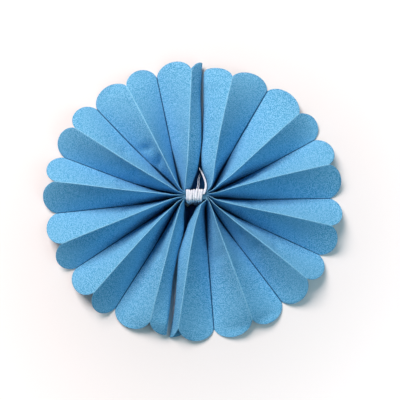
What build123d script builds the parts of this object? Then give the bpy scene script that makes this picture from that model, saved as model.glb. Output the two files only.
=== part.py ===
import os
from math import asin, atan2, cos, degrees, pi, radians, sin, sqrt

from build123d import *

# A paper flower ball before it is fluffed up: a stack of tissue sheets folded
# into one accordion strip, its ends cut round, tied round the middle with
# string, and both halves fanned out until their free edges meet.
# Sizes in millimetres, angles in degrees.

# Folded strip of tissue
panel_width = 25.5
sheet_count = 10
sheet_thickness = 0.036
sheet_looseness = 0.014
notch_reach = 84.0
free_corner_reach = 93.0
end_crown = 8.5

# Fold bearings, from +X round to +Y. The first and last fold of each half are
# free edges that lie low, and between them ridges and valleys take turns.
left_bearings = [83, 87, 102, 117, 133, 146.5, 160, 173, 186, 201, 213, 227.5, 238.5, 254, 262.5]
right_bearings = [91, 77.5, 60.5, 43.5, 28.5, 14.5, 0.5, -13, -26, -39, -53.5, -69.5, -85.5, -100.5, -104.5]

# How far each fold bows to its right, seen outward from the string. The free
# edges bow the most, because they rest against the other half.
left_bows = [5.6, 0.6, -1.7, -0.7, -1.0, -2.0, -2.0, -1.4, -0.2, -0.3, 1.4, 1.1, 0.9, 0.4, -1.4]
right_bows = [-2.3, 0.1, -0.9, 1.5, -0.8, -0.6, 0.4, 1.8, 1.7, 1.7, 1.2, 0.5, 1.8, 4.0, 7.6]

# Stations along a fold at which its panels are creased flat
crease_stations = [7, 12, 21, 34, 50, 67, 84]

# String
string_turns = 7
string_pitch = 1.75
string_thickness = 1.3
string_groove = 0.6
string_squeeze = 1.5
corner_radius = 1.7
left_gap = 0.7
right_gap = 1.3
tail_diameter = 1.5
long_tail_bends = [
    (-0.9, 1.0, 0.8),
    (-0.55, 4.6, -0.2),
    (-0.25, 9, -1.6),
    (-1.3, 13.5, -2.2),
    (-3.6, 18.2, -1.6),
]
short_tail_bends = [(-4.4, 2.8, -8), (-4.2, 7.5, -9.5), (-3.7, 12, -9.8), (-2.9, 16, -8.8)]
tail_bend_radius = 3

panel_count = len(left_bearings) - 1
end_radius = (panel_width**2 / 4 + end_crown**2) / (2 * end_crown)
pressed_stack = sheet_count * sheet_thickness
loose_stack = sheet_count * (sheet_thickness + sheet_looseness)
hub_radius = panel_count * pressed_stack / 2
pressed_reach = 1.1 * hub_radius
clear_of_string = hub_radius + string_thickness + 0.5
tie_length = string_turns * string_pitch
left_axis = Vector(-tie_length / 2 - left_gap, 0)
right_axis = Vector(tie_length / 2 + right_gap, 0)
tie_low = string_squeeze
tie_high = panel_width - string_squeeze
stations = [0.1 * hub_radius, pressed_reach, clear_of_string, *crease_stations, free_corner_reach + 1]


def fold_foot(axis, bearing, bow, r):
    """Place of a fold in plan, r along its bearing and bowed to the right of it."""
    along = Vector(cos(radians(bearing)), sin(radians(bearing)))
    right = Vector(along.Y, -along.X)
    share = min(max(r - clear_of_string, 0) / (free_corner_reach - clear_of_string), 1)
    return axis + along * r + right * bow * sin(pi * share**0.6)


def fold_levels(spread, is_ridge, r):
    """Lowest and highest z of the stack at a fold whose neighbours lie spread degrees away.

    A panel keeps its width, so its rise is sqrt(width^2 - run^2), and a steeper panel is
    deeper when it is measured upright."""
    if r <= pressed_reach:
        return tie_low, tie_high
    run = min(radians(spread) * r, 0.97 * panel_width)
    rise = sqrt(panel_width**2 - run**2)
    depth = loose_stack * panel_width / run
    pinch = string_squeeze * (pressed_reach / r) ** 2
    if is_ridge:
        return max(rise - pinch - depth, pinch), rise - pinch
    return pinch, min(pinch + depth, panel_width - pinch - 0.5)


def fold_edges(axis, bearings, bows, i):
    """The fold's lower and upper edge, each as a row of corners going outward."""
    beside = [abs(bearings[j] - bearings[i]) for j in (i - 1, i + 1) if 0 <= j < len(bearings)]
    spread = sum(beside) / len(beside)
    low_edge, high_edge = [], []
    for r in stations:
        foot = fold_foot(axis, bearings[i], bows[i], r)
        low, high = fold_levels(spread, i % 2 == 1, r)
        low_edge.append(foot + Vector(0, 0, low))
        high_edge.append(foot + Vector(0, 0, high))
    return low_edge, high_edge


def flat_face(*corners):
    return Face(Wire.make_polygon(corners))


def fan(axis, bearings, bows):
    """Half of the strip fanned round its axis: between two folds each panel is creased
    into flat triangles, above and below, and closed at its inner, outer and free edges."""
    folds = [fold_edges(axis, bearings, bows, i) for i in range(len(bearings))]
    faces = []
    for (low_a, high_a), (low_b, high_b) in zip(folds, folds[1:]):
        for a, b in ((low_a, low_b), (high_a, high_b)):
            for k in range(len(stations) - 1):
                faces.append(flat_face(a[k], a[k + 1], b[k]))
                faces.append(flat_face(a[k + 1], b[k + 1], b[k]))
        for k in (0, -1):
            faces.append(flat_face(low_a[k], low_b[k], high_b[k], high_a[k]))
    for low, high in (folds[0], folds[-1]):
        for k in range(len(stations) - 1):
            faces.append(flat_face(low[k], low[k + 1], high[k + 1], high[k]))
    return Solid(Shell(faces))


left_half = fan(left_axis, left_bearings, left_bows)
right_half = fan(right_axis, right_bearings, right_bows)


def notches(axis, bearings, bows, corner):
    """Where the folds end in plan. The free edge named corner reaches further than the rest."""
    reaches = [free_corner_reach if i == corner else notch_reach for i in range(len(bearings))]
    return [fold_foot(axis, *fold) for fold in zip(bearings, bows, reaches)]


def round_end(start, end):
    """A panel's round cut seen from above: the cut circle, narrowed as the panel is tilted."""
    chord = end - start
    outward = Vector(chord.Y, -chord.X).normalized()
    half_angle = degrees(asin(panel_width / 2 / end_radius))
    EllipticalCenterArc(
        (start + end) / 2 - outward * end_radius * cos(radians(half_angle)),
        end_radius,
        end_radius * chord.length / panel_width,
        start_angle=-half_angle,
        arc_size=2 * half_angle,
        rotation=degrees(atan2(outward.Y, outward.X)),
    )


def corner_end(notch, corner, axis):
    """The cut of an edge panel, which stops at the crown of its round end."""
    outward = (corner - axis).normalized()
    rise = outward * (corner - notch).dot(outward)
    Bezier(notch, notch + rise * 0.6, notch + rise + (corner - notch - rise) * 0.4, corner)


left_notches = notches(left_axis, left_bearings, left_bows, 0)
right_notches = notches(right_axis, right_bearings, right_bows, panel_count)

with BuildPart() as pleated_paper:
    add(left_half)
    add(right_half)
    # The pressed middle of the strip, under the string
    with BuildSketch(Plane.YZ.offset(left_axis.X - 0.4 * hub_radius)):
        with Locations((0, (tie_low + tie_high) / 2)):
            RectangleRounded(2 * hub_radius, tie_high - tie_low, corner_radius)
    extrude(amount=right_axis.X - left_axis.X + 0.8 * hub_radius)
    # The ends cut round, all sheets of a panel at once
    with BuildSketch(Plane.XY.offset(-1)):
        with BuildLine():
            corner_end(left_notches[1], left_notches[0], left_axis)
            for start, end in zip(left_notches[1:], left_notches[2:]):
                round_end(start, end)
            Line(left_notches[-1], right_notches[-1])
            corner_end(right_notches[-2], right_notches[-1], right_axis)
            for start, end in zip(right_notches[-2::-1], right_notches[-3::-1]):
                round_end(start, end)
            Line(right_notches[0], left_notches[0])
        make_face()
    extrude(amount=panel_width + 2, mode=Mode.INTERSECT)

half_tie = tie_length / 2
tie_middle = (tie_low + tie_high) / 2
corner_y = hub_radius - corner_radius
corner_z = tie_high - corner_radius


def turns_outline():
    """The turns side by side, cut across: flat on the paper, with one back for each turn."""
    groove = string_thickness - string_groove
    backs = []
    for turn in range(string_turns):
        x = -half_tie + turn * string_pitch
        backs += [(x, groove), (x + 0.27 * string_pitch, string_thickness)]
        backs += [(x + 0.73 * string_pitch, string_thickness)]
    Polyline((half_tie, 0), (-half_tie, 0), *backs, (half_tie, groove), (half_tie, 0))


with BuildPart() as tie_string:
    # The turns are made a quarter of the way round, over the top, a corner and
    # half a side, and then mirrored
    with BuildSketch(Plane((0, 0, tie_high), x_dir=(1, 0, 0), z_dir=(0, -1, 0))):
        with BuildLine():
            turns_outline()
        make_face()
    extrude(amount=-corner_y)
    with BuildSketch(Plane((0, corner_y, tie_high), x_dir=(1, 0, 0), z_dir=(0, -1, 0))):
        with BuildLine():
            turns_outline()
        make_face()
    revolve(axis=Axis((0, corner_y, corner_z), (1, 0, 0)), revolution_arc=-90)
    with BuildSketch(Plane((0, hub_radius, tie_middle))):
        with BuildLine():
            turns_outline()
        make_face()
    extrude(amount=corner_z - tie_middle)
    mirror(about=Plane.XZ)
    mirror(about=Plane.XY.offset(tie_middle))
    # Its two loose ends
    for bends in (long_tail_bends, short_tail_bends):
        with BuildLine() as tail:
            FilletPolyline(
                *[(half_tie + x, y, tie_high + z) for x, y, z in bends],
                radius=tail_bend_radius,
            )
        with BuildSketch(Plane(tail.line @ 0, z_dir=tail.line % 0)):
            Circle(tail_diameter / 2)
        sweep(path=tail.wire())

# The origin lies under the middle of the ball, on the surface that it rests on
box = pleated_paper.part.bounding_box()
seat = Location((-box.center().X, -box.center().Y, -box.min.Z))
pleated_paper.part.move(seat)
tie_string.part.move(seat)

os.makedirs("parts", exist_ok=True)
pleated_paper.part.label = "pleated_paper"
export_step(pleated_paper.part, "parts/pleated_paper.step")
tie_string.part.label = "tie_string"
export_step(tie_string.part, "parts/tie_string.step")
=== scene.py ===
from math import radians
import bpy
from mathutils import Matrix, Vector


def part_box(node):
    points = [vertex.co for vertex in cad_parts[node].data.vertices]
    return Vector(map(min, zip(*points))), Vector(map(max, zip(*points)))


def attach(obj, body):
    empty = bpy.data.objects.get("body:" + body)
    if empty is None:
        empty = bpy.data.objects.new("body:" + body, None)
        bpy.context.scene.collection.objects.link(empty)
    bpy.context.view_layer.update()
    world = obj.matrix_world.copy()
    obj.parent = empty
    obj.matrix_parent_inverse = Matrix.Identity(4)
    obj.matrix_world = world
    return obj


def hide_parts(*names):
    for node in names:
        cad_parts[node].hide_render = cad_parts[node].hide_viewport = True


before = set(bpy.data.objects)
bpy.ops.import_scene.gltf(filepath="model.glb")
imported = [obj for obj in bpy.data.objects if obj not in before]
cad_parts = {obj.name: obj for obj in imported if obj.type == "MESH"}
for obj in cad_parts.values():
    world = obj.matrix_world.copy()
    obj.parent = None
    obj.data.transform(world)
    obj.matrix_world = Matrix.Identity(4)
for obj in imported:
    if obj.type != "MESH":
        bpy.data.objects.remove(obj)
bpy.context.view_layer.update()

from types import SimpleNamespace

import bpy
import numpy as np
from mathutils import Vector

# Camera
# The ball is seen from above, a little from the side of the lower seam, at
# about half a metre.
aim = Vector((0.0031, -0.0021, 0.012))
camera_data = bpy.data.cameras.new("camera")
camera_data.angle = radians(30.1)
camera_data.clip_start = 0.01
camera = bpy.data.objects.new("camera", camera_data)
camera.location = (0.0031, -0.0593, 0.4916)
camera.rotation_euler = (aim - camera.location).to_track_quat("-Z", "Y").to_euler()
bpy.context.scene.collection.objects.link(camera)
bpy.context.scene.camera = camera
bpy.context.scene.view_settings.view_transform = "Standard"


# White table and studio lamps
# A seamless white table top. One wide soft lamp stands high at the upper left
# and a small weak one at the lower right, and the white room fills the shadows.
class Wire:
    """One output of a shader node, with sums and products written as plain arithmetic."""

    def __init__(self, tree, socket):
        self.tree = tree
        self.socket = socket

    def _math(self, operation, *values):
        node = self.tree.nodes.new("ShaderNodeMath")
        node.operation = operation
        for socket, value in zip(node.inputs, values):
            join(self.tree, socket, value)
        return Wire(self.tree, node.outputs[0])

    def __add__(self, other):
        return self._math("ADD", self, other)

    def __radd__(self, other):
        return self._math("ADD", other, self)

    def __sub__(self, other):
        return self._math("SUBTRACT", self, other)

    def __rsub__(self, other):
        return self._math("SUBTRACT", other, self)

    def __mul__(self, other):
        return self._math("MULTIPLY", self, other)

    def __rmul__(self, other):
        return self._math("MULTIPLY", other, self)

    def __truediv__(self, other):
        return self._math("DIVIDE", self, other)

    def __rtruediv__(self, other):
        return self._math("DIVIDE", other, self)

    def at_most(self, other):
        return self._math("MINIMUM", self, other)

    def at_least(self, other):
        return self._math("MAXIMUM", self, other)

    def size(self):
        return self._math("ABSOLUTE", self)

    def between(self, low, high):
        """0 below low, 1 above high, and a straight ramp from one to the other."""
        return ((self - low) / (high - low)).at_least(0.0).at_most(1.0)


def join(tree, socket, value):
    """Links a wire to a socket, or sets the socket to a plain value."""
    if isinstance(value, Wire):
        tree.links.new(value.socket, socket)
    else:
        socket.default_value = value


class Finish:
    """A node material, or a world, under one surface shader."""

    def __init__(self, owner, shader="ShaderNodeBsdfPrincipled"):
        owner.use_nodes = True
        self.tree = owner.node_tree
        self.tree.nodes.clear()
        is_world = isinstance(owner, bpy.types.World)
        output = self.tree.nodes.new("ShaderNodeOutputWorld" if is_world else "ShaderNodeOutputMaterial")
        self.shader = self.tree.nodes.new(shader)
        self.tree.links.new(self.shader.outputs[0], output.inputs["Surface"])

    def node(self, kind, output, settings=(), **inputs):
        """Any other node: its type, its settings, then what its sockets are set or linked to."""
        node = self.tree.nodes.new(kind)
        for name, value in dict(settings).items():
            setattr(node, name, value)
        for name, value in inputs.items():
            name = name.replace("_", " ")
            socket = next(s for s in node.inputs if name in (s.name, s.identifier) and s.enabled)
            join(self.tree, socket, value)
        found = next(s for s in node.outputs if s.name == output and s.enabled)
        return Wire(self.tree, found)

    def noise(self, place, scale, detail, roughness=0.5):
        """Soft random specks, about as many to a metre as the scale says, 0.5 on average."""
        return self.node(
            "ShaderNodeTexNoise", "Fac", Vector=place, Scale=scale, Detail=detail, Roughness=roughness
        )

    def tint(self, share, first, second):
        """From the first colour to the second as share goes from 0 to 1."""
        return self.node(
            "ShaderNodeMix", "Result", {"data_type": "RGBA"}, Factor=share, A=first, B=second
        )

    def paint(self, **inputs):
        """Sets or links the sockets of the surface shader."""
        for name, value in inputs.items():
            join(self.tree, self.shader.inputs[name.replace("_", " ")], value)

    def seen(self):
        """1 where the camera or a reflection looks, and 0 for the light that falls on the ball."""
        camera_ray = self.node("ShaderNodeLightPath", "Is Camera Ray")
        glossy_ray = self.node("ShaderNodeLightPath", "Is Glossy Ray")
        through_ray = self.node("ShaderNodeLightPath", "Is Transmission Ray")
        return (camera_ray + glossy_ray + through_ray).at_most(1.0)


table_half = 1.5
table_corners = [(x * table_half, y * table_half, 0) for x, y in ((-1, -1), (1, -1), (1, 1), (-1, 1))]
table_mesh = bpy.data.meshes.new("table_top")
table_mesh.from_pydata(table_corners, [], [(0, 1, 2, 3)])
table_top = bpy.data.objects.new("table_top", table_mesh)
bpy.context.scene.collection.objects.link(table_top)

# The table is seen whiter from the ball's rim outward, and white where the lamps don't reach
table_paint = bpy.data.materials.new("white_table")
white_table = Finish(table_paint)
table_place = white_table.node("ShaderNodeTexCoord", "Object")
away = white_table.node("ShaderNodeVectorMath", "Value", {"operation": "LENGTH"}, Vector=table_place)
glow_at_rim = away.between(0.085, 0.1) * 0.07
glow_around = away.between(0.1, 0.18) * 0.21
glow_far_off = away.between(0.2, 0.9) * 0.72
warm_white = (0.95, 0.86, 0.84, 1)
warm_glow = (1, 0.89, 0.88, 1)
white_table.paint(
    Base_Color=warm_white,
    Roughness=0.9,
    Emission_Color=warm_glow,
    Emission_Strength=white_table.seen() * (glow_at_rim + glow_around + glow_far_off),
    Specular_IOR_Level=0.1,
)
table_mesh.materials.append(table_paint)

# The room is white where it is seen, and sends weak light of a cool colour
room = bpy.data.worlds.new("white_room")
bpy.context.scene.world = room
room_light = Finish(room, "ShaderNodeBackground")
room_fill = 0.14
cool_light = (0.5, 0.86, 1.0, 1)
plain_white = (1, 1, 1, 1)
room_colour = room_light.tint(room_light.seen(), cool_light, plain_white)
room_light.paint(Color=room_colour, Strength=room_light.seen() * (1.0 - room_fill) + room_fill)


def soft_lamp(name, bearing, height, distance, size, power, colour):
    """A square lamp that looks at the ball from a bearing and a height in degrees."""
    lamp_data = bpy.data.lights.new(name, "AREA")
    lamp_data.color = colour
    lamp_data.size = size
    lamp_data.energy = power
    lamp = bpy.data.objects.new(name, lamp_data)
    b, h = radians(bearing), radians(height)
    lamp.location = Vector((np.cos(b) * np.cos(h), np.sin(b) * np.cos(h), np.sin(h))) * distance
    lamp.rotation_euler = (-lamp.location).to_track_quat("-Z", "Y").to_euler()
    lamp.visible_camera = False
    bpy.context.scene.collection.objects.link(lamp)


soft_lamp("window_lamp", bearing=121, height=49, distance=1.3, size=0.7, power=19.5, colour=(1.0, 0.93, 0.9))
soft_lamp("side_lamp", bearing=-35, height=52, distance=0.5, size=0.35, power=0.6, colour=(0.5, 0.87, 1.0))


# Folded tissue paper
# About ten sheets of light blue tissue, laid on each other, folded to and fro
# into one strip, cut round at both ends and fanned out. The fold lines, the
# rims and the tied middle are one sheet of paper from end to end.
# Sizes here are in millimetres.
millimetre = 0.001
panel_width = 25.1
panels = 14
sheets = 10
stack_in_tie = 0.26
stack_at_rim = 0.46
stack_loosens = 25.0
tie_length = 12.25
tie_half_depth = 3.82
string_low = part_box("tie_string")[0]
string_left = string_low.x / millimetre
seam_y = string_low.y / millimetre + tie_half_depth

# Each half has its hub beside the string and its fold bearings in degrees. The
# drift is how far each fold strays to its right at the knots, which are
# distances from the hub, and the reach is where the round cuts meet on it. The
# first and the last panel hang over in a flap, with its widths at the knots and
# a foot beside the string. A dent has its panel, place across it, distance out,
# slant, length, width and depth.
drift_knots = np.array([10.0, 25.0, 50.0, 80.0])
left_gap = 0.7
right_gap = 1.3
even_flap = [12.5, 12.5, 12.5, 12.5]
no_fold = -1
left = SimpleNamespace(
    hub=np.array([string_left - left_gap, seam_y]),
    bearings=np.array([
        83, 87, 102, 117, 133, 146.5, 160, 173, 186, 201, 213, 227.5, 238.5, 254, 262.5,
    ]),
    drift=np.array([
        [3.9, 7.0, 7.4, -0.9], [0.3, 0.8, 0.9, -0.3], [-1.5, -1.9, -1.7, -1.6],
        [-0.9, -0.8, -0.6, -0.8], [0.8, 0.0, -1.5, -2.1], [-0.6, -1.1, -2.3, -1.5],
        [0.3, -1.3, -2.3, -0.7], [-0.8, -0.9, -1.6, 0.1], [1.6, 0.4, -0.4, -0.2],
        [0.4, 0.2, -0.4, 0.0], [0.9, 1.2, 1.5, 0.6], [0.3, 0.9, 1.3, 0.6],
        [1.8, 1.0, 0.3, 1.8], [0.5, 0.6, 0.3, -1.4], [-1.3, -2.7, 1.0, -2.0],
    ]),
    reach=np.array([84, 83.7, 85.1, 84.2, 84.9, 84.6, 85.1, 84.4, 85.2, 84, 84.3, 83.9, 84.4, 82.8, 78]),
    end_radius=13.3,
    flaps={0: even_flap, panels: even_flap},
    feet={0: 4.0, panels: 6.5},
    double_fold=4,
    first_number=0,
    dents=[
        (3, 0.62, 42, 20, 7, 2.6, 2.1), (3, 0.30, 42, 60, 5, 2.5, 0.7), (3, 0.60, 35, 60, 3, 2.6, -0.8),
        (3, 0.62, 29, -10, 6, 2.4, 2.1), (3, 0.30, 30, 25, 5, 2.2, 0.8), (6, 0.35, 48, 20, 6, 2.0, -1.3),
        (6, 0.45, 37, 15, 6, 2.0, 1.1), (6, 0.80, 40, -15, 9, 3.0, 1.2), (7, 0.15, 41, 35, 5, 1.6, 1.1),
        (8, 0.30, 41, 18, 9, 3.0, 1.0), (11, 0.5, 45, 60, 6, 4.0, 0.6), (1, 0.54, 66, 80, 1.3, 5.0, 0.5),
        (1, 0.35, 43, 70, 1.5, 5.0, 0.6), (5, 0.4, 35, 20, 10, 3.0, 0.8), (12, 0.5, 40, 10, 10, 3.0, 0.6),
        (4, 0.5, 50, -10, 12, 2.5, 0.6),
    ],
)
right = SimpleNamespace(
    hub=np.array([string_left + tie_length + right_gap, seam_y]),
    bearings=np.array([
        91, 77.5, 60.5, 43.5, 28.5, 14.5, 0.5, -13, -26, -39, -53.5, -69.5, -85.5, -100.5, -104.5,
    ]),
    drift=np.array([
        [0.9, -3.7, -2.3, 0.5], [1.7, 0.6, -1.0, -0.5], [-0.4, -0.7, -1.2, -0.3],
        [0.6, 1.6, 1.7, 1.5], [-1.8, -1.4, -0.3, -0.8], [0.1, -0.4, -0.9, -0.4],
        [-0.6, 0.5, 0.5, -0.1], [1.9, 2.0, 1.5, -0.2], [1.2, 1.8, 1.6, 0.1],
        [1.6, 1.9, 1.3, 0.4], [1.0, 1.5, 1.1, 0.4], [0.0, 0.6, 0.5, 0.0],
        [1.3, 1.8, 1.9, 2.0], [2.8, 4.0, 4.4, 2.0], [5.4, 7.8, 11.0, -1.2],
    ]),
    reach=np.array([79.6, 82.4, 84.2, 83.2, 82.3, 82.5, 81.8, 82, 82.3, 82.4, 83.2, 83.9, 85, 86, 84.5]),
    end_radius=13.8,
    flaps={0: [12.5, 11.0, 9.0, 5.5], panels: even_flap},
    feet={0: 9.0, panels: 6.5},
    double_fold=no_fold,
    first_number=20,
    dents=[
        (2, 0.2, 58, 30, 9, 2.0, 0.9), (2, 0.6, 40, 15, 8, 3.0, 0.8), (3, 0.35, 33, -20, 8, 2.0, 1.2),
        (6, 0.5, 30, 10, 9, 3.0, 0.9), (9, 0.39, 33, 25, 6, 2.2, 1.3), (9, 0.45, 46, 15, 7, 2.4, 1.0),
        (7, 0.4, 22, 0, 8, 3.0, 0.8), (0, 0.3, 58, 20, 10, 4.0, 0.6), (10, 0.7, 51, -25, 8, 2.4, 0.9),
        (12, 0.75, 57, 60, 3, 6.0, 0.6), (11, 0.4, 40, 10, 12, 3.0, 0.9), (8, 0.5, 55, 10, 14, 3.0, 0.7),
        (5, 0.5, 45, -12, 12, 3.0, 0.7), (4, 0.5, 35, 12, 10, 3.0, 0.6),
    ],
)


def bell(x, middle, spread):
    """A bell: 1 at the middle, and exp(-((x - middle) / spread)^2) to both sides."""
    return np.exp(-(((x - middle) / spread) ** 2))


least_distance = 0.5
knot_spread = 0.55


def between_knots(values, r):
    """A mean of the values at the knots, weighted by a bell of how near each knot is on a log
    scale."""
    from_least = np.maximum(r, least_distance)[..., None]
    nearness = bell(np.log(from_least), np.log(drift_knots), knot_spread)
    return (nearness * values).sum(-1) / nearness.sum(-1)


fold_pitch_in_tie = 0.33
fold_pitch_fades = 4.0
drift_starts = 5.0
string_squeeze = 1.6
squeeze_fades = 3.5
flattest_panel = 0.97
paper_on_table = 0.25


def fold_place(half, fold, r):
    """Where a fold runs, r out from the hub: straight along its bearing, plus its drift to the
    right. A ridge is as high as its panels' width allows, sqrt(width^2 - run^2), and a valley
    lies on the table. Close to the string the folds start side by side, and both kinds are
    squeezed towards the middle by the string's squeeze over 1 + (r / distance)^3."""
    angle = np.radians(half.bearings[fold])
    along = np.stack([np.cos(angle), np.sin(angle)], -1)
    right_of_it = np.stack([along[..., 1], -along[..., 0]], -1)
    stray = between_knots(half.drift[fold], r) * (1 - bell(r, 0, drift_starts))
    in_tie = (panels / 2 - fold) * fold_pitch_in_tie * bell(r, 0, fold_pitch_fades)
    start = np.stack([0 * r, in_tie], -1)
    plan = half.hub + start + along * r[..., None] + right_of_it * stray[..., None]
    gaps = np.abs(np.diff(half.bearings))
    spreads = (np.append(gaps[0], gaps) + np.append(gaps, gaps[-1])) / 2
    # The outermost ridges are spread at least as far as the panel on their inner side, the
    # first of them as far less 2 degrees
    spreads[[1, -2]] = np.maximum(spreads[[1, -2]], [gaps[1] - 2, gaps[-2]])
    run = np.minimum(np.radians(spreads[fold]) * r, flattest_panel * panel_width)
    squeeze = string_squeeze / (1 + (r / squeeze_fades) ** 3)
    ridge = np.sqrt(panel_width**2 - run**2) - squeeze
    level = np.where(fold % 2 == 1, ridge, paper_on_table + squeeze)
    return np.concatenate([plan, level[..., None]], -1)


bend_round = 1.5
lowest_bend = 0.6
flattest_slope = 0.98
steepest_flap = 0.99
seam_lean = 1.0
foot_place = 6.0
foot_length = 12.0
foot_width = 3.5


def hanging_bend(half, fold, r):
    """The ridge of a last panel, its bend, and the flap's width there: the bend runs where the
    fold's bearing and drift say, and so much lower than the ridge that the paper between them
    keeps its width, sqrt(width^2 - run^2)."""
    ridge = fold_place(half, 1 if fold == 0 else fold - 1, r)
    bend = fold_place(half, fold, r)
    flap = between_knots(np.array(half.flaps[fold]), r)
    upper = panel_width - flap
    run = np.minimum(np.linalg.norm(ridge[..., :2] - bend[..., :2], axis=-1), flattest_slope * upper)
    bend[..., 2] = np.maximum(ridge[..., 2] - np.sqrt(upper**2 - run**2), lowest_bend)
    return ridge, bend, flap


def hanging_panel(half, fold, r, t):
    """A last panel at share t of its width: two straight parts that meet in the bend, where
    sqrt(x^2 + round^2) stands for the size of x, the distance from the bend. The flap goes as
    far to the side as its drop leaves, sqrt(width^2 - drop^2). Its edge leans a little outward,
    and close to the string it turns outward like a foot, in the shape of a bell."""
    ridge, bend, flap = hanging_bend(half, fold, r)
    toward = ridge[..., :2] - bend[..., :2]
    toward = toward / np.linalg.norm(toward, axis=-1, keepdims=True)
    drop = np.minimum(bend[..., 2] - paper_on_table, steepest_flap * flap)
    free = bend.copy()
    free[..., :2] += toward * np.sqrt(flap**2 - drop**2)[..., None]
    free[..., 2] -= drop
    from_edge = panel_width * (t if fold == 0 else 1 - t)
    x = flap - from_edge
    size = np.sqrt(x**2 + bend_round**2)
    foot = half.feet[fold] * bell(r, foot_place, foot_length)
    outward = (seam_lean + foot) * bell(from_edge, 0, foot_width)
    to_free = (free - bend) * ((size + x) / 2 / flap)[..., None]
    to_ridge = (ridge - bend) * ((size - x) / 2 / (panel_width - flap))[..., None]
    place = bend + to_free + to_ridge
    place[..., :2] -= toward * outward[..., None]
    return place


# Columns of the paper lie close together at each fold and further apart between
steps = np.array([0, 0.2, 0.45, 0.9, 1.8, 3.2, 5.2, 7.6, 10.1, 12.55]) / panel_width
share = np.concatenate([steps, 1 - steps[-2::-1]])
rows_out = 62
row_crowding = 1.35
first_row_out = 0.3


def distance_out(half, t):
    """How far each point lies from the hub. Rows crowd towards the hub, as a power of their
    share of the way, and a column ends on the round cut: the reach of the two folds beside it,
    and on top the height of the cut circle over the chord of its panel."""
    v = np.linspace(0, 1, rows_out)[None, :, None] ** row_crowding
    across = (t - 0.5) * panel_width
    crown = np.sqrt(half.end_radius**2 - across**2) - np.sqrt(half.end_radius**2 - panel_width**2 / 4)
    near = half.reach[:-1, None, None] * (1 - t) + half.reach[1:, None, None] * t
    return first_row_out + (near + crown - first_row_out) * v


crease_round = 0.28
round_in_tie = 0.07
round_growth = 0.02
double_fold_half = 0.85
double_fold_place = 68.0
double_fold_length = 17.0


def creased_panels(half, fold, r, t):
    """Panels that run straight from fold to fold, with rounded creases: a point at distance a
    from a crease is drawn inwards by sqrt(a^2 + round^2) - a, taken half at a - d and half at
    a + d, so that a double crease has a flat of 2 d between its lines. For the creases beside
    it, a last panel counts as straight on along its upper part."""
    first = fold_place(half, fold, r)
    second = fold_place(half, fold + 1, r)
    before = fold_place(half, np.maximum(fold - 1, 0), r)
    after = fold_place(half, np.minimum(fold + 2, panels), r)
    for edge, row, next_row, own, beside in ((0, 0, 1, first, before), (panels, -1, -2, second, after)):
        for place, k in ((own, row), (beside, next_row)):
            ridge, bend, flap = hanging_bend(half, edge, r[k])
            place[k] = ridge + (bend - ridge) * (panel_width / (panel_width - flap))[..., None]
    t = t[..., None]
    place = first * (1 - t) + second * t
    inner_first = (before - first + second - first) / 2 / panel_width * (fold > 0)[..., None]
    inner_second = (first - second + after - second) / 2 / panel_width * (fold < panels - 1)[..., None]
    for edge, k in ((0, 0), (panels, -1)):
        place[k] = hanging_panel(half, edge, r[k], t[0, ..., 0])
    rounding = np.minimum(crease_round, round_in_tie + round_growth * r)[..., None]
    flat = double_fold_half * bell(r, double_fold_place, double_fold_length)

    def pull(a, is_double):
        d = (flat * is_double)[..., None]
        one = np.sqrt((a - d) ** 2 + rounding**2) - (a - d)
        other = np.sqrt((a + d) ** 2 + rounding**2) - (a + d)
        return (one + other) / 2

    place = place + inner_first * pull(t * panel_width, fold == half.double_fold)
    place = place + inner_second * pull(panel_width - t * panel_width, fold + 1 == half.double_fold)
    return place, second - first


ripple_height = 0.22
ripple_stretch = 7.5
wrinkle_height = 0.16
wrinkle_stretch = 3.6
wrinkles_place = 30
wrinkles_length = 35
calm_near_tie = 10.0


def ripples_and_dents(half, fold, r, t):
    """How far the paper stands out of its panel: long ripples and short wrinkles, both sines of
    the distance out that start elsewhere on each panel, less the dents of the fingers that
    opened it, each the product of a bell along its slant and one across it."""
    middle = np.sin(np.pi * t)
    number = fold + half.first_number
    ripple = np.sin(r / ripple_stretch + 2.1 * number + 3 * t)
    wrinkle = np.sin(r / wrinkle_stretch + 1.3 * number - 5 * t) * bell(r, wrinkles_place, wrinkles_length)
    lift = ripple_height * middle * ripple + wrinkle_height * middle * wrinkle
    for panel, place_t, place_r, slant, length, width, depth in half.dents:
        x = (t - place_t) * panel_width
        y = r - place_r
        turn = np.radians(slant)
        lengthwise = bell(x * np.cos(turn) + y * np.sin(turn), 0, length)
        sideways = bell(-x * np.sin(turn) + y * np.cos(turn), 0, width)
        lift = lift - depth * lengthwise * sideways * (fold == panel) * middle**0.5
    return lift * (1 - bell(r, 0, calm_near_tie))


def unit(vectors):
    """The vectors, each divided by its length."""
    return vectors / np.maximum(np.linalg.norm(vectors, axis=-1, keepdims=True), 1e-9)


def half_of_fan(half):
    """One half from the hub to the rim as rows of points, the creased panels moved along their
    upward normals by the ripples and dents, and each point's distance from the hub."""
    t = share[None, None, :]
    r = distance_out(half, t)
    fold = np.arange(panels)[:, None, None] + np.zeros(r.shape, int)
    place, across = creased_panels(half, fold, r, t)
    normal = np.cross(across, np.gradient(place, axis=1))
    normal = unit(normal * np.sign(normal[..., 2:3] + 1e-9))
    place = place + normal * ripples_and_dents(half, fold, r, t)[..., None]
    joined = np.concatenate([*place[:-1, :, :-1], place[-1]], axis=1)
    out = np.concatenate([*r[:-1, :, :-1], r[-1]], axis=1)
    return joined, out


left_rows, left_out = half_of_fan(left)
right_rows, right_out = half_of_fan(right)

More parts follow.
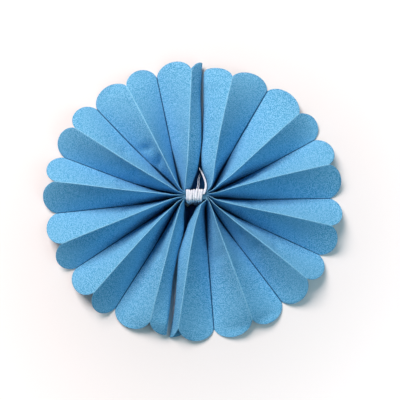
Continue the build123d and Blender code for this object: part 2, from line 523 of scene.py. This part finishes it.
# Under the string the panels stand upright side by side, and each row there is
# a mean of the halves' first rows, weighted by its place between them
tie_rows = 8
half_tie = 7.0
along_tie = np.linspace(0, 1, tie_rows + 2)[1:-1, None]
tie_part = left_rows[0] * (1 - along_tie[..., None]) + right_rows[0] * along_tie[..., None]
no_distance = np.zeros(tie_part.shape[:2])
paper = np.concatenate([left_rows[::-1], tie_part, right_rows])
out = np.concatenate([left_out[::-1], no_distance, right_out])
half_stack = (stack_in_tie + (stack_at_rim - stack_in_tie) * (1 - bell(out, 0, stack_loosens))) / 2
normal = unit(np.cross(np.gradient(paper, axis=1), np.gradient(paper, axis=0)))
upper = paper + normal * half_stack[..., None]
lower = paper - normal * half_stack[..., None]
rows, columns = paper.shape[:2]
upper_index = np.arange(rows * columns).reshape(rows, columns)
lower_index = upper_index + rows * columns

# Each point's place on the uncut sheet: across the panels, and along the strip from its middle
across_strip = np.append((np.arange(panels)[:, None] + share[:-1]).ravel(), panels) * panel_width
tie_places = (2 * along_tie - 1) * half_tie + no_distance
along_strip = np.concatenate([-left_out[::-1] - half_tie, tie_places, right_out + half_tie])
sheet_grid = np.stack([np.broadcast_to(across_strip, (rows, columns)), along_strip], -1)


def border(grid):
    """The four sides of a grid as one closed line."""
    return np.concatenate([grid[0, :-1], grid[:-1, -1], grid[-1, :0:-1], grid[:0:-1, 0]])


edge_stand = 0.09


def cut_edges():
    """The cut edges of the sheets, between the upper and the lower side: each sheet's edge
    stands out by a little and by two sines of its place, with a groove between two sheets."""
    top, bottom = border(upper), border(lower)
    outward = np.zeros_like(paper)
    outward[:, 0] = paper[:, 0] - paper[:, 1]
    outward[:, -1] = paper[:, -1] - paper[:, -2]
    outward[0] = paper[0] - paper[1]
    outward[-1] = paper[-1] - paper[-2]
    sheet = np.arange(1, 2 * sheets)[:, None, None]
    level = sheet / (2 * sheets)
    place = np.linspace(0, 2 * np.pi, len(top), endpoint=False)[None, :, None]
    uneven = 0.05 * np.sin(9 * place + 2.4 * sheet) + 0.03 * np.sin(31 * place + 1.7 * sheet)
    stand = np.where(sheet % 2 == 1, edge_stand + uneven, 0.0)
    return top * (1 - level) + bottom * level + unit(border(outward)) * stand


def quads(index):
    """Four-cornered faces between neighbouring rows and columns of an index grid."""
    return np.stack([index[:-1, :-1], index[:-1, 1:], index[1:, 1:], index[1:, :-1]], -1).reshape(-1, 4)


def closed_round(index):
    """An index grid whose first column is repeated after its last, so that its rows are rings."""
    return np.concatenate([index, index[:, :1]], axis=1)


def mesh_piece(name, points, face_groups, map_name, map_places):
    """A smooth shaded piece from points in millimetres and groups of faces, each group with one
    number of corners. Its UV map is each point's place on the flat material, in metres."""
    corners = np.concatenate([group.ravel() for group in face_groups])
    sizes = np.concatenate([np.full(len(group), group.shape[1]) for group in face_groups])
    mesh = bpy.data.meshes.new(name)
    mesh.vertices.add(len(points))
    mesh.vertices.foreach_set("co", (points * millimetre).astype(np.float32).ravel())
    mesh.loops.add(len(corners))
    mesh.loops.foreach_set("vertex_index", corners.astype(np.int32))
    mesh.polygons.add(len(sizes))
    mesh.polygons.foreach_set("loop_start", (np.cumsum(sizes) - sizes).astype(np.int32))
    mesh.update(calc_edges=True)
    mesh.polygons.foreach_set("use_smooth", np.ones(len(sizes), dtype=bool))
    layer = mesh.uv_layers.new(name=map_name)
    layer.data.foreach_set("uv", (map_places[corners] * millimetre).astype(np.float32).ravel())
    mesh.validate()
    piece = bpy.data.objects.new(name, mesh)
    bpy.context.scene.collection.objects.link(piece)
    return piece


edges = cut_edges()
edge_index = 2 * rows * columns + np.arange(edges.shape[0] * edges.shape[1]).reshape(edges.shape[:2])
edge_index = np.concatenate([border(upper_index)[None], edge_index, border(lower_index)[None]])
edge_index = closed_round(edge_index)
edge_places = np.broadcast_to(border(sheet_grid), (*edges.shape[:2], 2))
folded_tissue = mesh_piece(
    "folded_tissue",
    np.concatenate([grid.reshape(-1, 3) for grid in (upper, lower, edges)]),
    [quads(upper_index), quads(lower_index)[:, ::-1], quads(edge_index)[:, ::-1]],
    "flat",
    np.concatenate([grid.reshape(-1, 2) for grid in (sheet_grid, sheet_grid, edge_places)]),
)

tissue_paint = bpy.data.materials.new("blue_tissue")
tissue = Finish(tissue_paint)
sheet_place = tissue.node("ShaderNodeUVMap", "UV", {"uv_map": "flat"})
fibre = tissue.noise(sheet_place, 1400.0, 1.0)
clump = tissue.noise(sheet_place, 420.0, 1.0)
cloud = tissue.noise(sheet_place, 38.0, 2.0)
speckle = (fibre * 0.8 + clump * 0.2).between(0.45, 0.55)
deep_blue = (0.065, 0.32, 0.565, 1)
light_blue = (0.25, 0.56, 0.82, 1)
even_blue = (0.185, 0.475, 0.73, 1)
# Painted highlight colour for the ridges
ridge_highlight_blue = (0.36, 0.68, 0.88, 1)
# Painted shade colour for the valleys
valley_shade_blue = (0.008, 0.05, 0.14, 1)
blue = tissue.tint(speckle, deep_blue, light_blue)
blue = tissue.tint(cloud.between(0.4, 0.6) * 0.35, blue, even_blue)
# Painted highlight: the paper is drawn paler along the ridges, where light catches the folds. Painted shade:
# the valleys are drawn as dark lines, broad beside the string where the folds are deepest, thinning out
# towards the rim
two_panels = 2 * panel_width
across = tissue.node("ShaderNodeSeparateXYZ", "X", Vector=sheet_place) / (two_panels * millimetre)
turn = tissue.node("ShaderNodeMath", "Value", {"operation": "FRACT"}, Value=across)
to_ridge = (turn - 0.5).size() * two_panels
to_valley = panel_width - to_ridge
from_hub = tissue.node("ShaderNodeSeparateXYZ", "Y", Vector=sheet_place).size() - half_tie * millimetre
thinner_at_rim = from_hub.between(0.045, 0.085) * 0.6
broader_at_tie = (1.0 - from_hub.between(0.008, 0.035)) * 5.0
painted_ridge_highlight = 1.0 - to_ridge.between(0.1, 0.4)
painted_valley_shade = 1.0 - (to_valley / (1.0 - thinner_at_rim + broader_at_tie)).between(0.7, 1.5)
blue = tissue.tint(painted_ridge_highlight * 0.5, blue, ridge_highlight_blue)
blue = tissue.tint(painted_valley_shade * 0.95, blue, valley_shade_blue)
grain = tissue.node("ShaderNodeBump", "Normal", Height=fibre + clump * 0.8, Strength=0.5, Distance=0.0002)
tissue.paint(Base_Color=blue, Roughness=0.82 + fibre * 0.12, Normal=grain, Specular_IOR_Level=0.1)
folded_tissue.data.materials.append(tissue_paint)
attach(folded_tissue, "root")
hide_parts("pleated_paper")


# Cotton string
# One piece of soft white cotton string of three plies, wound seven times round
# the pressed middle, with two loose ends that stand up in the upper gap.
turns = 7
plies = 3
strand_radius = 0.82
lay_length = 3.2
steps_per_turn = 130
stack_half_width = 2.52
stack_top = 24.0
stack_low = 1.5
corner = 1.9
# The middle of the string lies by a little less than its radius off the stack
side = stack_half_width + 0.8 * strand_radius
top_level = stack_top + 0.75 * strand_radius
low_level = stack_low - 0.75 * strand_radius
right_end = string_left + tie_length


def wound_path():
    """The line of the string: a rectangle with round corners, gone round seven times, while x
    moves on evenly. The rectangle is followed at an even pace by its length, and small sines of
    the turn make the winding uneven. The last turns slant, as the cube of the way there."""
    centres = np.array([
        (side - corner, top_level - corner),
        (-side + corner, top_level - corner),
        (-side + corner, low_level + corner),
        (side - corner, low_level + corner),
    ])
    arcs = np.linspace(0, np.pi / 2, 9) + np.arange(4)[:, None] * np.pi / 2
    ring = centres[:, None] + corner * np.stack([np.cos(arcs), np.sin(arcs)], -1)
    ring = np.concatenate([ring.reshape(-1, 2), ring[0, :1]])
    gone = np.append(0, np.cumsum(np.linalg.norm(np.diff(ring, axis=0), axis=1)))
    u = np.linspace(0, turns, turns * steps_per_turn + 1)
    part = (u % 1) * gone[-1]
    y = np.interp(part, gone, ring[:, 0])
    z = np.interp(part, gone, ring[:, 1])
    x = (u / turns - 0.5) * (tie_length - 2 * strand_radius)
    x = x + 0.2 * np.sin(5.3 * u) + 0.16 * np.sin(13 * u + 1) + 0.1 * np.sin(29 * u)
    x = x + 0.9 * (u / turns) ** 3 * y / side
    y = y + 0.22 * np.sin(7.7 * u + 2) + 0.12 * np.sin(21 * u) + 0.05 * x * (y > 0)
    z = z + 0.18 * np.sin(3.9 * u) * (z > stack_top / 2) + 0.12 * np.sin(17 * u)
    return np.stack([x + right_end - tie_length / 2, y + seam_y, z], -1)


profile_corners = 18
no_part_runs_so = [1.0, 0.13, 0.07]


def twisted_strand(line, radius, turn_length):
    """A lobed profile carried along a line: the radius is 0.8 plus 0.2 of the size of a cosine
    that has a lobe for each ply, the lobes turn once in a turn length, like plies laid
    together, and small sines of the length make it fluffy. Each point's place on the flat
    material is its length along the line and its way round."""
    ahead = unit(np.gradient(line, axis=0))
    side_way = unit(np.cross(ahead, no_part_runs_so))
    up_way = np.cross(ahead, side_way)
    gone = np.append(0, np.cumsum(np.linalg.norm(np.diff(line, axis=0), axis=1)))[:, None]
    round_it = np.linspace(0, 2 * np.pi, profile_corners, endpoint=False)[None, :]
    twist = 2 * np.pi * gone / turn_length
    lobes = 0.8 + 0.2 * np.abs(np.cos(plies / 2 * (round_it - twist)))
    fluff = 1 + 0.07 * np.sin(5.1 * gone) * np.cos(2 * round_it + gone)
    fluff = fluff + 0.06 * np.sin(11.7 * gone) * np.sin(5 * round_it - 2 * gone)
    reach = np.broadcast_to(radius, len(line))[:, None] * lobes * fluff
    ring = line[:, None] + side_way[:, None] * (reach * np.cos(round_it))[..., None]
    ring = ring + up_way[:, None] * (reach * np.sin(round_it))[..., None]
    around = (round_it - twist) / 2
    return ring, np.stack([gone + 0 * around, around], -1)


def closed_strand(line, radius, turn_length):
    """A strand's points, its groups of faces, and its map places. A point half a step past the
    line closes each end."""
    ring, place = twisted_strand(line, radius, turn_length)
    rings, around = ring.shape[:2]
    index = closed_round(np.arange(rings * around).reshape(rings, around))
    first_tip = line[:1] - (line[1:2] - line[:1]) / 2
    last_tip = line[-1:] + (line[-1:] - line[-2:-1]) / 2
    tip = np.full(around, rings * around)
    start = np.stack([tip, index[0, 1:], index[0, :-1]], -1)
    end = np.stack([tip + 1, index[-1, :-1], index[-1, 1:]], -1)
    points = np.concatenate([ring.reshape(-1, 3), first_tip, last_tip])
    places = np.concatenate([place.reshape(-1, 2), place[0, :1], place[-1, :1]])
    return points, [quads(index), start, end], places


def smooth_line(corners, count):
    """A soft line through a few corners: a cubic between each two, which passes a corner along
    the direction from the corner before it to the one after it."""
    corners = np.asarray(corners, float)
    padded = np.concatenate([2 * corners[:1] - corners[1:2], corners, 2 * corners[-1:] - corners[-2:-1]])
    u = np.linspace(0, len(corners) - 1, count)
    k = np.minimum(u.astype(int), len(corners) - 2)
    t = (u - k)[:, None]
    a, b, c, d = padded[k], padded[k + 1], padded[k + 2], padded[k + 3]
    straight = 2 * b + (c - a) * t
    return (straight + (2 * a - 5 * b + 4 * c - d) * t**2 + (3 * b - a - 3 * c + d) * t**3) / 2


strands = [closed_strand(wound_path(), strand_radius, lay_length)]

# Each loose end has come undone into its plies, which draw together further out
# and, on the long one, spread again at the tip. Its corners are measured from the
# right end of the winding and from the seam
tail_steps = 90
drawn_together = 0.6
tip_spread = 0.25
flatness = 0.6
tail_lay_length = 2.4
ply_shorter = 0.07
thinned_at_tip = 0.72
untwist = 4.0
long_tail = [
    (-0.9, 0.6, 24.2), (0.4, 3.4, 23.9), (0.6, 6.4, 23.2), (0.2, 9.6, 22.4), (-1.2, 13.4, 22.0),
    (-3.4, 17.6, 22.2),
]
short_tail = [(-4.4, 2.9, 13.5), (-4.3, 7.0, 12.0), (-3.9, 11.2, 11.6), (-3.2, 15.0, 12.2)]
gone = np.linspace(0, 1, tail_steps)
for tail, thick, spread in ((long_tail, 0.46, 0.42), (short_tail, 0.24, 0.7)):
    line = smooth_line([(x + right_end, y + seam_y, z) for x, y, z in tail], tail_steps)
    for ply in range(plies):
        angle = 2 * np.pi * ply / plies + untwist * gone + thick
        apart = spread * (1 - drawn_together * gone**2) + tip_spread * gone**4
        beside = np.stack([apart * np.cos(angle), 0 * gone, flatness * apart * np.sin(angle)], -1)
        own_steps = int(tail_steps * (1 - ply_shorter * ply))
        own_line = smooth_line((line + beside)[:own_steps], tail_steps)
        own_radius = thick * (1 - thinned_at_tip * gone**1.5)
        strands.append(closed_strand(own_line, own_radius, tail_lay_length))

strand_points, strand_faces, strand_places = zip(*strands)
starts = np.cumsum([0] + [len(points) for points in strand_points])
cotton_string = mesh_piece(
    "cotton_string",
    np.concatenate(strand_points),
    [group + start for start, groups in zip(starts, strand_faces) for group in groups],
    "lay",
    np.concatenate(strand_places),
)

cotton_paint = bpy.data.materials.new("white_cotton")
cotton = Finish(cotton_paint)
spot = cotton.node("ShaderNodeTexCoord", "Object")
fluff = cotton.noise(spot, 1900.0, 3.0, 0.6)
shade = cotton.noise(spot, 420.0, 2.0)
fluffy = (fluff * 0.6 + shade * 0.4).between(0.35, 0.65)
shaded_cotton = (0.74, 0.72, 0.83, 1)
bright_cotton = (0.97, 0.96, 0.98, 1)
white = cotton.tint(fluffy, shaded_cotton, bright_cotton)
fuzz = cotton.node("ShaderNodeBump", "Normal", Height=fluff, Strength=0.6, Distance=0.0003)
cotton.paint(Base_Color=white, Roughness=0.85 + shade * 0.1, Normal=fuzz, Specular_IOR_Level=0.2)
cotton_string.data.materials.append(cotton_paint)
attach(cotton_string, "root")
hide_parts("tie_string")
